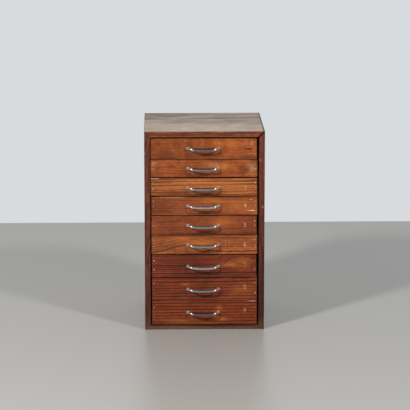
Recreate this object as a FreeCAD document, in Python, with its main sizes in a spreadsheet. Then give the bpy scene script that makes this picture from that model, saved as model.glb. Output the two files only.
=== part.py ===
"""Cabinet of nine shallow drawers for small type and tools.

Four mitred boards make the case, with a panel let into the back. Each drawer is
a nailed tray behind a full-height front, and rides on two strips nailed inside
the case. Chromed bow handles are screwed on from inside.

Millimetres. +Z is up, the drawers open towards -Y, and the origin is the middle
of the face that the case stands on.
"""
import FreeCAD, Part
import math
import os
import re
import Sketcher
from FreeCAD import Rotation, Vector

SIZES = {
    # The case: side, top and base boards, and the panel in the back
    "case_width": 350,
    "case_depth": 350,
    "side_thick": 17,
    "top_thick": 16,
    "base_thick": 14,
    "panel_thick": 5,
    "rebate_width": 8,
    "panel_fit": 0.3,
    "edge_round": 0.6,
    "gap_over_fronts": 2.5,
    # The strips that the drawers ride on
    "runner_width": 14,
    "runner_height": 10,
    "ride_gap": 0.3,
    "stop_gap": 0.3,
    # The trays
    "front_thick": 14,
    "board_thick": 11,
    "floor_thick": 4,
    "floor_lift": 4,
    "floor_fit": 0.2,
    "groove_depth": 5,
    "groove_end_gap": 0.5,
    "side_drop": 1,
    "back_drop": 3,
    "rear_gap": 8,
    # Nails, all of one gauge
    "nail_shank": 1.8,
    "nail_head": 3.2,
    "nail_head_thick": 1.2,
    "nail_set": 0.3,
    "nail_fit": 0.05,
    "nail_tip_gap": 0.5,
    "front_nail_length": 38,
    "corner_nail_length": 34,
    "floor_nail_length": 16,
    "floor_nail_inset": 70,
    "runner_nail_length": 24,
    "runner_nail_inset": 30,
    "case_nail_length": 40,
    "case_nail_inset": 40,
    "panel_nail_length": 18,
    "panel_nail_inset": 60,
    # The handles and their screws
    "handle_centres": 88.9,
    "handle_offset": -4,
    "handle_reach": 25,
    "handle_knee_span": 68,
    "handle_knee_reach": 19,
    "handle_flat_span": 28,
    "handle_foot_bend": 10,
    "handle_knee_bend": 8,
    "handle_bow_bend": 60,
    "handle_stub": 4,
    "bar_height": 8.6,
    "bar_thick": 4.6,
    "leg_width": 6.8,
    "leg_thick": 6.6,
    "foot_width": 8,
    "foot_flare": 10.4,
    "foot_flare_height": 3,
    "screw_shank": 3.5,
    "screw_head": 7,
    "screw_head_thick": 2.4,
    "screw_slot": 1,
    "screw_bite": 5,
    "screw_tip_gap": 0.5,
    "screw_fit": 0.15,
    "thread_fit": 0.05,
    # Drawer by drawer, from the top one down: the front's height, the gaps under it and at
    # its two ends, how far the handle sits below the front's middle, the upper nails' depth
    # below the front's top edge, and the lower nails' height over the tray's floor
    "front_height_1": 63,
    "gap_under_1": 1.2,
    "gap_left_1": 1.4,
    "gap_right_1": 6.4,
    "handle_drop_1": 0,
    "upper_nail_1": 13,
    "lower_nail_1": 4,
    "front_height_2": 51,
    "gap_under_2": 2.6,
    "gap_left_2": 1.4,
    "gap_right_2": 4.8,
    "handle_drop_2": 0,
    "upper_nail_2": 12,
    "lower_nail_2": 6,
    "front_height_3": 53,
    "gap_under_3": 2.2,
    "gap_left_3": 1.4,
    "gap_right_3": 5.0,
    "handle_drop_3": 3,
    "upper_nail_3": 14,
    "lower_nail_3": 3,
    "front_height_4": 55,
    "gap_under_4": 2.0,
    "gap_left_4": 3.0,
    "gap_right_4": 4.2,
    "handle_drop_4": 0.5,
    "upper_nail_4": 13,
    "lower_nail_4": 8,
    "front_height_5": 56.5,
    "gap_under_5": 1.4,
    "gap_left_5": 3.0,
    "gap_right_5": 6.0,
    "handle_drop_5": 1,
    "upper_nail_5": 15,
    "lower_nail_5": 9,
    "front_height_6": 56.5,
    "gap_under_6": 2.4,
    "gap_left_6": 3.0,
    "gap_right_6": 4.4,
    "handle_drop_6": 1,
    "upper_nail_6": 13,
    "lower_nail_6": 5,
    "front_height_7": 67,
    "gap_under_7": 1.8,
    "gap_left_7": 4.0,
    "gap_right_7": 6.2,
    "handle_drop_7": 1.5,
    "upper_nail_7": 17,
    "lower_nail_7": 5,
    "front_height_8": 67.5,
    "gap_under_8": 1.0,
    "gap_left_8": 4.0,
    "gap_right_8": 4.6,
    "handle_drop_8": 1,
    "upper_nail_8": 15,
    "lower_nail_8": 3,
    "front_height_9": 71.5,
    "gap_under_9": 1.9,
    "gap_left_9": 3.6,
    "gap_right_9": 4.4,
    "handle_drop_9": 0.5,
    "upper_nail_9": 20,
    "lower_nail_9": 7,
}
NUMBERS = range(1, 10)

doc = FreeCAD.newDocument("drawer_cabinet")
sheet = doc.addObject("Spreadsheet::Sheet", "Sizes")
for row, (name, value) in enumerate(SIZES.items(), start=1):
    sheet.set(f"A{row}", name)
    sheet.set(f"B{row}", str(value))
    sheet.setAlias(f"B{row}", name)
doc.recompute()


# Expressions: sums and differences of the sheet's sizes, in the row frame

def sized(text):
    """The expression with every size name pointed at its cell."""
    return re.sub(r"[a-z]\w*", lambda word: "Sizes." + word.group(), text)


def middle(low, high):
    """The expression halfway between two others."""
    return f"(({low}) + ({high})) / 2"


def drawer_base(number):
    """Height of a drawer front's lower edge."""
    below = [f"front_height_{lower} + gap_under_{lower}" for lower in NUMBERS if lower > number]
    return " + ".join(["base_thick", *below, f"gap_under_{number}"])


HALF_WIDTH = "case_width / 2"
HALF_OPENING = "(case_width / 2 - side_thick)"
FRONT = "-case_depth / 2"
REAR = "case_depth / 2"
OPENING_TOP = drawer_base(1) + " + front_height_1 + gap_over_fronts"
CASE_HEIGHT = OPENING_TOP + " + top_thick"
TRAY_LOW = "runner_height + ride_gap"
GROOVE_LOW = TRAY_LOW + " + floor_lift"
FLOOR_TOP = GROOVE_LOW + " + floor_thick"
GROOVE_HIGH = FLOOR_TOP + " + floor_fit"
DRAWER_LENGTH = "(case_depth - panel_thick - rear_gap)"


# Features of a body

def new_body(label, x="0", y="0", z="0"):
    """An empty body with its own frame."""
    body = doc.addObject("PartDesign::Body", label)
    body.Label = label
    for axis, place in zip("xyz", (x, y, z)):
        body.setExpression(f"Placement.Base.{axis}", sized(place))
    return body


def new_sketch(body, plane, start):
    """A sketch parallel to one of the body's planes, moved along the row's axis."""
    sketch = body.newObject("Sketcher::SketchObject", "outline")
    origin_plane = next(item for item in body.Origin.OriginFeatures if item.Role == plane)
    sketch.AttachmentSupport = (origin_plane, [""])
    sketch.MapMode = "FlatFace"
    # The XZ plane's normal is -Y
    sign = "-" if plane == "XZ_Plane" else ""
    sketch.setExpression("AttachmentOffset.Base.z", sized(f"{sign}({start})"))
    return sketch


def place_point(sketch, geometry, end, across, along):
    """Bind one point of a sketch to its two distances from the origin."""
    for kind, distance in (("DistanceX", across), ("DistanceY", along)):
        index = sketch.addConstraint(Sketcher.Constraint(kind, -1, 1, geometry, end, 1))
        sketch.setExpression(f"Constraints[{index}]", sized(distance))


def draw_polygon(sketch, corners):
    """A closed outline with every corner bound."""
    first = sketch.GeometryCount
    count = len(corners)
    start = [Vector(math.cos(step), math.sin(step), 0) for step in range(count)]
    for side in range(count):
        sketch.addGeometry(Part.LineSegment(start[side], start[(side + 1) % count]), False)
    for side, (across, along) in enumerate(corners):
        after = first + (side + 1) % count
        sketch.addConstraint(Sketcher.Constraint("Coincident", first + side, 2, after, 1))
        place_point(sketch, first + side, 1, across, along)


def rectangle(left, right, low, high):
    """Corners of a rectangle."""
    return [(left, low), (right, low), (right, high), (left, high)]


def extrude(body, kind, plane, sketch, length):
    """Pad or pocket a sketch along the row's positive axis."""
    feature = body.newObject(f"PartDesign::{kind}", kind.lower())
    feature.Profile = sketch
    feature.Reversed = (plane == "XZ_Plane") == (kind == "Pad")
    feature.setExpression("Length", sized(length))


def prisms(body, kind, plane, outlines, start, length):
    """Straight pieces, or cuts, with these outlines."""
    sketch = new_sketch(body, plane, start)
    for corners in outlines:
        draw_polygon(sketch, corners)
    extrude(body, kind, plane, sketch, length)


def rods(body, kind, plane, centres, diameter, start, length):
    """Round pieces, or bores, at these centres."""
    sketch = new_sketch(body, plane, start)
    for across, along in centres:
        circle = sketch.addGeometry(Part.Circle(Vector(0, 0, 0), Vector(0, 0, 1), 1), False)
        place_point(sketch, circle, 3, across, along)
        index = sketch.addConstraint(Sketcher.Constraint("Diameter", circle, 2))
        sketch.setExpression(f"Constraints[{index}]", sized(diameter))
    extrude(body, kind, plane, sketch, length)


def driven(face, inward, shallow, deep):
    """Start and length of a stretch between two depths below a face."""
    length = f"({deep}) - ({shallow})"
    if inward > 0:
        return f"({face}) + {shallow}", length
    return f"({face}) - ({deep})", length


def add_nails(body, plane, centres, face, inward, length):
    """Nails driven in from a face, with their heads set just below it."""
    neck = "nail_set + nail_head_thick"
    rods(body, "Pad", plane, centres, "nail_head", *driven(face, inward, "nail_set", neck))
    rods(body, "Pad", plane, centres, "nail_shank", *driven(face, inward, neck, length))


def bore_shanks(body, plane, centres, face, inward, length):
    """Holes that the nails' shanks fill."""
    reach = driven(face, inward, "0", f"{length} + nail_tip_gap")
    rods(body, "Pocket", plane, centres, "nail_shank + 2 * nail_fit", *reach)


def bore_heads(body, plane, centres, face, inward):
    """The wider mouths of nail holes."""
    reach = driven(face, inward, "0", "nail_set + nail_head_thick")
    rods(body, "Pocket", plane, centres, "nail_head + 2 * nail_fit", *reach)


def round_front_edges(body):
    """Ease the straight edges around the body's foremost face."""
    doc.recompute()
    base = body.Tip
    foremost = base.Shape.BoundBox.YMin
    picked = []
    for index, edge in enumerate(base.Shape.Edges, start=1):
        box = edge.BoundBox
        in_front_face = box.YMax - foremost < 0.001
        square = min(box.XLength, box.ZLength) < 0.001
        if in_front_face and square:
            picked.append(f"Edge{index}")
    fillet = body.newObject("PartDesign::Fillet", "eased_edges")
    fillet.Base = (base, picked)
    fillet.setExpression("Radius", sized("edge_round"))


# The case

def runner_heights(number):
    """Lower and upper face of a drawer's runners."""
    low = drawer_base(number)
    return low, low + " + runner_height"


RUNNER_FRONT = FRONT + " + front_thick + stop_gap"
RUNNER_REAR = REAR + " - panel_thick"
RUNNER_NAILS = [
    (along, middle(*runner_heights(number)))
    for number in NUMBERS
    for along in (
        RUNNER_FRONT + " + runner_nail_inset",
        middle(RUNNER_FRONT, RUNNER_REAR),
        RUNNER_REAR + " - runner_nail_inset",
    )
]
CORNER_NAIL_ROWS = (FRONT + " + case_nail_inset", "0", REAR + " - case_nail_inset")
TOP_CORNER_NAILS = [(along, CASE_HEIGHT + " - top_thick / 2") for along in CORNER_NAIL_ROWS]
BASE_CORNER_NAILS = [(along, "base_thick / 2") for along in CORNER_NAIL_ROWS]

# The back panel's nails go in halfway across the step of the rebate
SIDE_PANEL_ROWS = (
    "panel_nail_inset",
    middle("0", CASE_HEIGHT),
    CASE_HEIGHT + " - panel_nail_inset",
)
PANEL_NAIL_SIDE = HALF_OPENING + " + rebate_width / 2"
PANEL_SIDE_NAILS = {
    "left": [(f"-({PANEL_NAIL_SIDE})", height) for height in SIDE_PANEL_ROWS],
    "right": [(PANEL_NAIL_SIDE, height) for height in SIDE_PANEL_ROWS],
}
PANEL_COLUMNS = (HALF_OPENING + " - panel_nail_inset", "-" + HALF_OPENING + " + panel_nail_inset")
PANEL_TOP_NAILS = [(across, OPENING_TOP + " + rebate_width / 2") for across in PANEL_COLUMNS]
PANEL_BASE_NAILS = [(across, "base_thick - rebate_width / 2") for across in PANEL_COLUMNS]


def case_board(label, corners, panel_nails):
    """A mitred board with its rebate and the bores for the panel's nails."""
    body = new_body(label)
    prisms(body, "Pad", "XZ_Plane", [corners], FRONT, "case_depth")
    round_front_edges(body)
    rebate = rectangle(
        f"-({HALF_OPENING} + rebate_width)",
        f"{HALF_OPENING} + rebate_width",
        "base_thick - rebate_width",
        OPENING_TOP + " + rebate_width",
    )
    prisms(body, "Pocket", "XZ_Plane", [rebate], REAR + " - panel_thick", "panel_thick")
    bore_shanks(body, "XZ_Plane", panel_nails, REAR, -1, "panel_nail_length")
    return body


def make_top():
    """The top board, mitred to the sides."""
    corners = [
        (f"-{HALF_WIDTH}", CASE_HEIGHT),
        (f"-{HALF_OPENING}", OPENING_TOP),
        (HALF_OPENING, OPENING_TOP),
        (HALF_WIDTH, CASE_HEIGHT),
    ]
    body = case_board("case_top", corners, PANEL_TOP_NAILS)
    bore_shanks(body, "YZ_Plane", TOP_CORNER_NAILS, f"-{HALF_WIDTH}", 1, "case_nail_length")
    bore_shanks(body, "YZ_Plane", TOP_CORNER_NAILS, HALF_WIDTH, -1, "case_nail_length")
    return body


def make_base():
    """The base board, mitred to the sides."""
    corners = [
        (f"-{HALF_WIDTH}", "0"),
        (HALF_WIDTH, "0"),
        (HALF_OPENING, "base_thick"),
        (f"-{HALF_OPENING}", "base_thick"),
    ]
    body = case_board("case_base", corners, PANEL_BASE_NAILS)
    bore_shanks(body, "YZ_Plane", BASE_CORNER_NAILS, f"-{HALF_WIDTH}", 1, "case_nail_length")
    bore_shanks(body, "YZ_Plane", BASE_CORNER_NAILS, HALF_WIDTH, -1, "case_nail_length")
    return body


def make_side(hand, sign, inward):
    """A side board: sign puts it left or right, inward points to the drawers."""
    corners = [
        (f"{sign}{HALF_WIDTH}", "0"),
        (f"{sign}{HALF_OPENING}", "base_thick"),
        (f"{sign}{HALF_OPENING}", OPENING_TOP),
        (f"{sign}{HALF_WIDTH}", CASE_HEIGHT),
    ]
    body = case_board(f"case_side_{hand}", corners, PANEL_SIDE_NAILS[hand])
    corner_nails = TOP_CORNER_NAILS + BASE_CORNER_NAILS
    outside = f"{sign}{HALF_WIDTH}"
    bore_shanks(body, "YZ_Plane", corner_nails, outside, inward, "case_nail_length")
    bore_heads(body, "YZ_Plane", corner_nails, outside, inward)
    runner_face = f"{sign}({HALF_OPENING} - runner_width)"
    bore_shanks(body, "YZ_Plane", RUNNER_NAILS, runner_face, -inward, "runner_nail_length")
    return body


def make_runners(hand, sign, inward):
    """The nine strips on one side of the case."""
    body = new_body(f"runners_{hand}")
    strips = [rectangle(RUNNER_FRONT, RUNNER_REAR, *runner_heights(number)) for number in NUMBERS]
    near, far = f"{sign}{HALF_OPENING}", f"{sign}({HALF_OPENING} - runner_width)"
    start = near if inward > 0 else far
    prisms(body, "Pad", "YZ_Plane", strips, start, "runner_width")
    bore_shanks(body, "YZ_Plane", RUNNER_NAILS, far, -inward, "runner_nail_length")
    bore_heads(body, "YZ_Plane", RUNNER_NAILS, far, -inward)
    return body


def make_runner_nails():
    """Three nails through every runner."""
    body = new_body("runner_nails")
    for sign, inward in (("-", 1), ("", -1)):
        face = f"{sign}({HALF_OPENING} - runner_width)"
        add_nails(body, "YZ_Plane", RUNNER_NAILS, face, -inward, "runner_nail_length")
    return body


def make_corner_nails():
    """Three nails across every mitre."""
    body = new_body("corner_nails")
    corner_nails = TOP_CORNER_NAILS + BASE_CORNER_NAILS
    add_nails(body, "YZ_Plane", corner_nails, f"-{HALF_WIDTH}", 1, "case_nail_length")
    add_nails(body, "YZ_Plane", corner_nails, HALF_WIDTH, -1, "case_nail_length")
    return body


PANEL_NAILS = (
    PANEL_SIDE_NAILS["left"] + PANEL_SIDE_NAILS["right"] + PANEL_TOP_NAILS + PANEL_BASE_NAILS
)


def make_back_panel():
    """The panel in the rebates of the four boards."""
    body = new_body("back_panel")
    reach = f"{HALF_OPENING} + rebate_width - panel_fit"
    outline = rectangle(
        f"-({reach})",
        reach,
        "base_thick - rebate_width + panel_fit",
        OPENING_TOP + " + rebate_width - panel_fit",
    )
    prisms(body, "Pad", "XZ_Plane", [outline], REAR + " - panel_thick", "panel_thick")
    bore_shanks(body, "XZ_Plane", PANEL_NAILS, REAR, -1, "panel_nail_length")
    bore_heads(body, "XZ_Plane", PANEL_NAILS, REAR, -1)
    return body


def make_panel_nails():
    """The nails around the back panel."""
    body = new_body("back_panel_nails")
    add_nails(body, "XZ_Plane", PANEL_NAILS, REAR, -1, "panel_nail_length")
    return body


# The handles

def handle_spine():
    """The bow's centre line: a curved bar, two knees, two slanting legs and two stubs."""
    foot = sheet.handle_centres / 2
    knee = sheet.handle_knee_span / 2
    flat = sheet.handle_flat_span / 2
    corners = [
        Vector(-foot, 0, 0),
        Vector(-foot, -sheet.handle_stub, 0),
        Vector(-knee, -sheet.handle_knee_reach, 0),
        Vector(-flat, -sheet.handle_reach, 0),
        Vector(flat, -sheet.handle_reach, 0),
        Vector(knee, -sheet.handle_knee_reach, 0),
        Vector(foot, -sheet.handle_stub, 0),
        Vector(foot, 0, 0),
    ]
    bends = [
        sheet.handle_foot_bend,
        sheet.handle_knee_bend,
        sheet.handle_bow_bend,
        sheet.handle_bow_bend,
        sheet.handle_knee_bend,
        sheet.handle_foot_bend,
    ]
    edges = []
    start = corners[0]
    for before, corner, after, radius in zip(corners, corners[1:], corners[2:], bends):
        arriving = (corner - before).normalize()
        leaving = (after - corner).normalize()
        half_turn = arriving.getAngle(leaving) / 2
        setback = radius * math.tan(half_turn)
        inside = (leaving - arriving).normalize()
        centre = corner + inside * (radius / math.cos(half_turn))
        bend_start = corner - arriving * setback
        bend_end = corner + leaving * setback
        edges.append(Part.LineSegment(start, bend_start).toShape())
        edges.append(Part.Arc(bend_start, centre - inside * radius, bend_end).toShape())
        start = bend_end
    edges.append(Part.LineSegment(start, corners[-1]).toShape())
    spine = doc.addObject("Part::Feature", "handle_spine")
    spine.Shape = Part.Wire(edges)
    return spine


def handle_section(across, out, tall, thick, heading):
    """An oval across the bow, with its tall axis upright."""
    oval = doc.addObject("Part::Ellipse", "handle_section")
    oval.setExpression("MajorRadius", sized(f"({tall}) / 2"))
    oval.setExpression("MinorRadius", sized(f"({thick}) / 2"))
    oval.Placement.Rotation = Rotation(Vector(0, 0, 1), Vector(), heading, "XZY")
    oval.setExpression("Placement.Base.x", sized(across))
    oval.setExpression("Placement.Base.y", sized(f"-({out})"))
    return oval


def handle_rounds(kind, name, sizes):
    """A round piece standing out at each foot."""
    rounds = []
    for sign in ("-", ""):
        item = doc.addObject(f"Part::{kind}", name)
        item.Placement.Rotation = Rotation(Vector(1, 0, 0), 90)
        item.setExpression("Placement.Base.x", sized(f"{sign}handle_centres / 2"))
        for size, value in sizes.items():
            item.setExpression(size, sized(value))
        rounds.append(item)
    return rounds


def make_handle_pattern():
    """The bow handle in its own frame: feet on the XZ plane, bar towards -Y."""
    outward, across, homeward = Vector(0, -1, 0), Vector(1, 0, 0), Vector(0, 1, 0)
    bow_width = (sheet.handle_knee_span - sheet.handle_flat_span) / 2
    bow_rise = sheet.handle_reach - sheet.handle_knee_reach
    sections = []
    for sign, heading, rise in (("-", outward, -bow_rise), ("", homeward, bow_rise)):
        foot = f"{sign}handle_centres / 2"
        base = handle_section(foot, "0", "foot_width", "foot_width", heading)
        neck = handle_section(foot, "handle_stub", "leg_width", "leg_thick", heading)
        shoulder = handle_section(
            f"{sign}(handle_knee_span * 3 + handle_flat_span) / 8",
            "(handle_knee_reach * 3 + handle_reach) / 4",
            "(bar_height * 3 + leg_width) / 4",
            "bar_thick",
            Vector(bow_width, rise, 0),
        )
        sections.extend([base, neck, shoulder] if sign else [shoulder, neck, base])
    sections.insert(3, handle_section("0", "handle_reach", "bar_height", "bar_thick", across))
    spine = handle_spine()
    bow = doc.addObject("Part::Sweep", "handle_bow")
    bow.Sections = sections
    bow.Spine = (spine, [f"Edge{index}" for index in range(1, len(spine.Shape.Edges) + 1)])
    bow.Solid = True
    flare = {
        "Radius1": "foot_flare / 2",
        "Radius2": "foot_width / 2",
        "Height": "foot_flare_height",
    }
    blank = doc.addObject("Part::MultiFuse", "handle_blank")
    blank.Shapes = [bow, *handle_rounds("Cone", "handle_foot", flare)]
    tapped = {
        "Radius": "screw_shank / 2 + thread_fit",
        "Height": "screw_bite + screw_tip_gap",
    }
    threads = doc.addObject("Part::MultiFuse", "handle_threads")
    threads.Shapes = handle_rounds("Cylinder", "handle_thread", tapped)
    pattern = doc.addObject("Part::Cut", "handle_pattern")
    pattern.Base = blank
    pattern.Tool = threads
    return pattern


# The drawers. Each has its own frame: the middle of its front's lower edge, outside

def make_drawer(number, handle_pattern):
    """The five nodes of one drawer."""
    half = f"(({HALF_OPENING}) - (gap_left_{number} + gap_right_{number}) / 2)"
    offset = f"(gap_left_{number} - gap_right_{number}) / 2"
    frame = (offset, FRONT, drawer_base(number))
    front_height = f"front_height_{number}"
    tray_high = f"{front_height} - side_drop"
    inner = f"({half} - board_thick)"
    back_face = f"{DRAWER_LENGTH} - board_thick"
    groove_reach = f"({inner} + groove_depth)"

    nail_rows = (f"{front_height} - upper_nail_{number}", f"{GROOVE_HIGH} + lower_nail_{number}")
    nail_column = f"({half} - board_thick / 2)"
    left_nails = [(f"-{nail_column}", height) for height in nail_rows]
    right_nails = [(nail_column, height) for height in nail_rows]
    corner_nails = [(f"{DRAWER_LENGTH} - board_thick / 2", height) for height in nail_rows]
    floor_nails = [
        (across, f"{DRAWER_LENGTH} - board_thick / 2")
        for across in (f"-({inner} - floor_nail_inset)", f"{inner} - floor_nail_inset")
    ]
    handle_place = f"(handle_offset - {offset})"
    handle_height = f"{front_height} / 2 - handle_drop_{number}"
    screws = [
        (f"{handle_place} - handle_centres / 2", handle_height),
        (f"{handle_place} + handle_centres / 2", handle_height),
    ]

    def make_front():
        body = new_body(f"drawer_{number}_front", *frame)
        outline = rectangle(f"-{half}", half, "0", front_height)
        prisms(body, "Pad", "XZ_Plane", [outline], "0", "front_thick")
        round_front_edges(body)
        groove = rectangle(f"-{groove_reach}", groove_reach, GROOVE_LOW, GROOVE_HIGH)
        groove_start = "front_thick - groove_depth"
        prisms(body, "Pocket", "XZ_Plane", [groove], groove_start, "groove_depth")
        nails = left_nails + right_nails
        bore_shanks(body, "XZ_Plane", nails, "0", 1, "front_nail_length")
        bore_heads(body, "XZ_Plane", nails, "0", 1)
        screw_hole = "screw_shank + 2 * screw_fit"
        rods(body, "Pocket", "XZ_Plane", screws, screw_hole, "0", "front_thick")
        return body

    def make_side(hand, sign, inward):
        body = new_body(f"drawer_{number}_side_{hand}", *frame)
        outline = [
            (f"{sign}{half}", "front_thick"),
            (f"{sign}{inner}", "front_thick"),
            (f"{sign}{inner}", DRAWER_LENGTH),
            (f"{sign}{half}", DRAWER_LENGTH),
        ]
        prisms(body, "Pad", "XY_Plane", [outline], TRAY_LOW, f"{tray_high} - ({TRAY_LOW})")
        groove = rectangle(f"-{groove_reach}", groove_reach, GROOVE_LOW, GROOVE_HIGH)
        groove_length = f"{DRAWER_LENGTH} - front_thick"
        prisms(body, "Pocket", "XZ_Plane", [groove], "front_thick", groove_length)
        own_nails = left_nails if hand == "left" else right_nails
        bore_shanks(body, "XZ_Plane", own_nails, "0", 1, "front_nail_length")
        outside = f"{sign}{half}"
        bore_shanks(body, "YZ_Plane", corner_nails, outside, inward, "corner_nail_length")
        bore_heads(body, "YZ_Plane", corner_nails, outside, inward)
        return body

    def make_back():
        body = new_body(f"drawer_{number}_back", *frame)
        outline = rectangle(f"-{inner}", inner, back_face, DRAWER_LENGTH)
        back_rise = f"{tray_high} - back_drop - ({FLOOR_TOP})"
        prisms(body, "Pad", "XY_Plane", [outline], FLOOR_TOP, back_rise)
        bore_shanks(body, "YZ_Plane", corner_nails, f"-{half}", 1, "corner_nail_length")
        bore_shanks(body, "YZ_Plane", corner_nails, half, -1, "corner_nail_length")
        bore_shanks(body, "XY_Plane", floor_nails, GROOVE_LOW, 1, "floor_nail_length")
        return body

    def make_box():
        box = doc.addObject("Part::Compound", f"drawer_{number}_box")
        box.Label = f"drawer_{number}_box"
        box.Links = [make_side("left", "-", 1), make_side("right", "", -1), make_back()]
        return box

    def make_floor():
        body = new_body(f"drawer_{number}_floor", *frame)
        reach = f"({groove_reach} - groove_end_gap)"
        start = "front_thick - groove_depth + groove_end_gap"
        outline = rectangle(f"-{reach}", reach, start, DRAWER_LENGTH)
        prisms(body, "Pad", "XY_Plane", [outline], GROOVE_LOW, "floor_thick")
        bore_shanks(body, "XY_Plane", floor_nails, GROOVE_LOW, 1, "floor_nail_length")
        bore_heads(body, "XY_Plane", floor_nails, GROOVE_LOW, 1)
        return body

    def make_fasteners():
        body = new_body(f"drawer_{number}_fasteners", *frame)
        add_nails(body, "XZ_Plane", left_nails + right_nails, "0", 1, "front_nail_length")
        add_nails(body, "YZ_Plane", corner_nails, f"-{half}", 1, "corner_nail_length")
        add_nails(body, "YZ_Plane", corner_nails, half, -1, "corner_nail_length")
        add_nails(body, "XY_Plane", floor_nails, GROOVE_LOW, 1, "floor_nail_length")
        shank_length = "screw_bite + front_thick"
        rods(body, "Pad", "XZ_Plane", screws, "screw_shank", "-screw_bite", shank_length)
        rods(body, "Pad", "XZ_Plane", screws, "screw_head", "front_thick", "screw_head_thick")
        slots = [
            rectangle(
                f"{across} - screw_slot / 2",
                f"{across} + screw_slot / 2",
                f"{height} - screw_head",
                f"{height} + screw_head",
            )
            for across, height in screws
        ]
        slot_start = "front_thick + screw_head_thick / 2"
        prisms(body, "Pocket", "XZ_Plane", slots, slot_start, "screw_head_thick / 2")
        return body

    def make_handle():
        body = doc.addObject("PartDesign::Body", f"drawer_{number}_handle")
        body.Label = f"drawer_{number}_handle"
        body.BaseFeature = handle_pattern
        height = f"{drawer_base(number)} + {handle_height}"
        for axis, place in zip("xyz", ("handle_offset", FRONT, height)):
            body.setExpression(f"Placement.Base.{axis}", sized(place))
        return body

    return [make_front(), make_box(), make_floor(), make_handle(), make_fasteners()]


def check_document(nodes):
    """Stop if a feature failed, a cut missed its piece, or a node has no sound solid."""
    for item in doc.Objects:
        if {"Invalid", "Error"} & set(item.State):
            raise RuntimeError(f"{item.Label} is {item.State}")
        if item.TypeId == "PartDesign::Pocket":
            removed = item.BaseFeature.Shape.Volume - item.Shape.Volume
            if removed < 0.01:
                raise RuntimeError(f"{item.Label} of {item.getParent().Label} cuts nothing")
    for node in nodes:
        shape = node.Shape
        if shape.isNull() or not shape.isValid() or not shape.Solids:
            raise RuntimeError(f"{node.Label} has no sound solid")


def main():
    """Build every node, check the document and write the nodes' files."""
    nodes = [
        make_top(),
        make_base(),
        make_side("left", "-", 1),
        make_side("right", "", -1),
        make_back_panel(),
        make_panel_nails(),
        make_corner_nails(),
        make_runners("left", "-", 1),
        make_runners("right", "", -1),
        make_runner_nails(),
    ]
    handle_pattern = make_handle_pattern()
    for number in NUMBERS:
        nodes.extend(make_drawer(number, handle_pattern))
    doc.recompute()
    check_document(nodes)
    os.makedirs("parts", exist_ok=True)
    for node in nodes:
        node.Shape.exportStep(f"parts/{node.Label}.step")
    print(f"{len(nodes)} nodes, {sum(len(node.Shape.Solids) for node in nodes)} solids")


main()
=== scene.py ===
"""Looks of a small cabinet of nine shallow drawers.

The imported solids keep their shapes. Every one gets a procedural finish: stained and
waxed boards outside, bare wood inside, chromed handles and dull nails. Gilt numbers are
added to seven fronts. Metres, in the part's own frame: +Z up, the fronts face -Y.
"""
import math
import bpy
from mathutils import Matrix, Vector


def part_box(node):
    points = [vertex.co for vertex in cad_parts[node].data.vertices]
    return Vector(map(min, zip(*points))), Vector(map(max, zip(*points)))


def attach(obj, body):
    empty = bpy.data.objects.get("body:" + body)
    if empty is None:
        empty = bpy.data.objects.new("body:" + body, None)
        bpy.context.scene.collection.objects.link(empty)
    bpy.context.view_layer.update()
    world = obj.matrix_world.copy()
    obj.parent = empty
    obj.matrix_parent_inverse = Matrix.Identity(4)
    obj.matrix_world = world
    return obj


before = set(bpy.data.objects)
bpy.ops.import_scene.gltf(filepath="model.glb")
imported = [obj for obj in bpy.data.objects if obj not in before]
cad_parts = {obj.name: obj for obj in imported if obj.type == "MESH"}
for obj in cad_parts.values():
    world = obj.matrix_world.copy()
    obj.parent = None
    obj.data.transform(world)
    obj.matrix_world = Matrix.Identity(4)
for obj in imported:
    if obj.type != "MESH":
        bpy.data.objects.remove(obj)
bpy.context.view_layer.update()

MM = 0.001
DRAWERS = range(1, 10)
FRONT_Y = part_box("drawer_1_front")[0].y


def front_middle(number):
    """The height of the middle of a drawer's front."""
    low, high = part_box(f"drawer_{number}_front")
    return (low.z + high.z) / 2


# ------------------------------------------------------------------ shader nodes

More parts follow.
